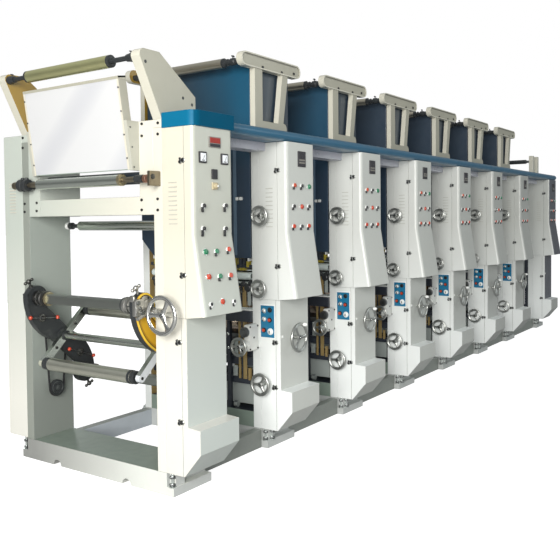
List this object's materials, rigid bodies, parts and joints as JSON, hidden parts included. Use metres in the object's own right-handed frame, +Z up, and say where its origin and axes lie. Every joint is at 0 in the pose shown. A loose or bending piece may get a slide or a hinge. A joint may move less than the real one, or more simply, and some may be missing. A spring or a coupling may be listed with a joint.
{
  "type": "gravure printing machine",
  "caption": "Rotogravure press: turret reel stand, a row of print units with dryer hoods, operator panels, handwheels, a blue top rail and an end frame.",
  "frame": {"origin": "on the floor under the turret's axis, in the middle of the reel stand's base beam", "axes": "+X along the line from the reel stand, +Y to the drive side, +Z up"},
  "size_m": [8.5559, 1.832, 2.827],
  "materials": {
    "cream": "satin warm white paint",
    "cool_grey": "satin light grey paint",
    "bracket_beige": "satin beige paint",
    "rail_blue": "gloss blue paint",
    "hood_blue": "satin dark blue paint",
    "base_green": "grey green paint",
    "trough_grey": "grey paint",
    "board_white": "gloss white",
    "belt_black": "matte",
    "turret_black": "satin black paint",
    "roller_grey": "turned",
    "roller_silver": "turned and polished",
    "roller_cream": "anodised",
    "rubber_dark": "smooth rubber",
    "tray_dark": "dark paint",
    "tank_grey": "grey paint",
    "bronze": "dull bronze",
    "chrome": "polished chrome"
  },
  "bodies": {
    "frame": {"stand_base": "cream", "stand_walls": "cream", "stand_head_boxes": "cream", "stand_upper_beam": "cream", "stand_cabinet": "cream", "stand_panel_box": "cream", "stand_cap": "rail_blue", "stand_drive_cover": "cream", "stand_top_brackets": "bracket_beige", "inspection_board": "board_white", "brake_belt": "belt_black", "nip_bearings": "bronze", "unit_feet": "cool_grey", "base_rails": "base_green", "unit_walls": "cool_grey", "unit_decks": "cool_grey", "lower_cabinets": "cool_grey", "panel_boxes": "cool_grey", "drive_casings": "cool_grey", "cable_troughs": "trough_grey", "top_rail": "rail_blue", "dryer_hoods": "hood_blue", "top_brackets": "bracket_beige", "web_rollers": "roller_cream", "guide_rollers": "chrome", "impression_rollers": "rubber_dark", "ink_trays": "tray_dark", "ink_tanks": "tank_grey", "frame_bars": "tray_dark", "frame_posts": "tray_dark", "doctor_blades": "tray_dark", "register_gearboxes": "roller_silver", "side_handwheels": "chrome", "end_posts": "bracket_beige"},
    "turret": {"turret_arms": "turret_black", "turret_tube": "roller_grey", "turret_guide_rollers": "roller_silver"},
    "upper_shaft": {"upper_reel_shaft": "roller_grey"},
    "lower_shaft": {"lower_reel_shaft": "roller_grey"},
    "top_roller": {"stand_top_roller": "roller_cream"},
    "nip_roller": {"stand_nip_roller": "chrome"},
    "rubber_roller": {"stand_rubber_roller": "rubber_dark"},
    "outlet_roller": {"stand_guide_roller": "roller_silver"},
    "stand_wheel": {"stand_handwheel": "chrome"},
    "cylinder_1": {"print_cylinder_1": "chrome"},
    "wheel_1": {"handwheel_1": "chrome"},
    "cylinder_2": {"print_cylinder_2": "chrome"},
    "wheel_2": {"handwheel_2": "chrome"},
    "cylinder_3": {"print_cylinder_3": "chrome"},
    "wheel_3": {"handwheel_3": "chrome"},
    "cylinder_4": {"print_cylinder_4": "chrome"},
    "wheel_4": {"handwheel_4": "chrome"},
    "cylinder_5": {"print_cylinder_5": "chrome"},
    "wheel_5": {"handwheel_5": "chrome"},
    "cylinder_6": {"print_cylinder_6": "chrome"},
    "wheel_6": {"handwheel_6": "chrome"}
  },
  "joints": [
    {"name": "turret_turn", "type": "hinge", "parent": "frame", "child": "turret", "pos_m": [0, 0, 0.853], "axis": [0, 1, 0], "continuous": true},
    {"name": "upper_shaft_turn", "type": "hinge", "parent": "turret", "child": "upper_shaft", "pos_m": [-0.2022, 0, 1.1313], "axis": [0, 1, 0], "continuous": true},
    {"name": "lower_shaft_turn", "type": "hinge", "parent": "turret", "child": "lower_shaft", "pos_m": [0.2022, 0, 0.5747], "axis": [0, 1, 0], "continuous": true},
    {"name": "top_roller_turn", "type": "hinge", "parent": "frame", "child": "top_roller", "pos_m": [-0.313, 0, 2.593], "axis": [0, 1, 0], "continuous": true},
    {"name": "nip_roller_turn", "type": "hinge", "parent": "frame", "child": "nip_roller", "pos_m": [-0.24, 0, 1.894], "axis": [0, 1, 0], "continuous": true},
    {"name": "rubber_roller_turn", "type": "hinge", "parent": "frame", "child": "rubber_roller", "pos_m": [-0.112, 0, 1.91], "axis": [0, 1, 0], "continuous": true},
    {"name": "outlet_roller_turn", "type": "hinge", "parent": "frame", "child": "outlet_roller", "pos_m": [0.15, 0, 1.615], "axis": [0, 1, 0], "continuous": true},
    {"name": "stand_wheel_turn", "type": "hinge", "parent": "frame", "child": "stand_wheel", "pos_m": [-0.2, -0.718, 1.095], "axis": [-1, 0, 0], "continuous": true},
    {"name": "cylinder_1_turn", "type": "hinge", "parent": "frame", "child": "cylinder_1", "pos_m": [1.081, 0, 0.878], "axis": [0, 1, 0], "continuous": true},
    {"name": "wheel_1_turn", "type": "hinge", "parent": "frame", "child": "wheel_1", "pos_m": [1.056, -0.76, 0.797], "axis": [0, -1, 0], "continuous": true},
    {"name": "cylinder_2_turn", "type": "hinge", "parent": "frame", "child": "cylinder_2", "pos_m": [2.181, 0, 0.878], "axis": [0, 1, 0], "continuous": true},
    {"name": "wheel_2_turn", "type": "hinge", "parent": "frame", "child": "wheel_2", "pos_m": [2.156, -0.76, 0.797], "axis": [0, -1, 0], "continuous": true},
    {"name": "cylinder_3_turn", "type": "hinge", "parent": "frame", "child": "cylinder_3", "pos_m": [3.281, 0, 0.878], "axis": [0, 1, 0], "continuous": true},
    {"name": "wheel_3_turn", "type": "hinge", "parent": "frame", "child": "wheel_3", "pos_m": [3.256, -0.76, 0.797], "axis": [0, -1, 0], "continuous": true},
    {"name": "cylinder_4_turn", "type": "hinge", "parent": "frame", "child": "cylinder_4", "pos_m": [4.381, 0, 0.878], "axis": [0, 1, 0], "continuous": true},
    {"name": "wheel_4_turn", "type": "hinge", "parent": "frame", "child": "wheel_4", "pos_m": [4.356, -0.76, 0.797], "axis": [0, -1, 0], "continuous": true},
    {"name": "cylinder_5_turn", "type": "hinge", "parent": "frame", "child": "cylinder_5", "pos_m": [5.481, 0, 0.878], "axis": [0, 1, 0], "continuous": true},
    {"name": "wheel_5_turn", "type": "hinge", "parent": "frame", "child": "wheel_5", "pos_m": [5.456, -0.76, 0.797], "axis": [0, -1, 0], "continuous": true},
    {"name": "cylinder_6_turn", "type": "hinge", "parent": "frame", "child": "cylinder_6", "pos_m": [6.581, 0, 0.878], "axis": [0, 1, 0], "continuous": true},
    {"name": "wheel_6_turn", "type": "hinge", "parent": "frame", "child": "wheel_6", "pos_m": [6.556, -0.76, 0.797], "axis": [0, -1, 0], "continuous": true}
  ],
  "couplings": [
    {"joint": "cylinder_2_turn", "follows": "cylinder_1_turn", "ratio": 1},
    {"joint": "cylinder_3_turn", "follows": "cylinder_1_turn", "ratio": 1},
    {"joint": "cylinder_4_turn", "follows": "cylinder_1_turn", "ratio": 1},
    {"joint": "cylinder_5_turn", "follows": "cylinder_1_turn", "ratio": 1},
    {"joint": "cylinder_6_turn", "follows": "cylinder_1_turn", "ratio": 1}
  ]
}
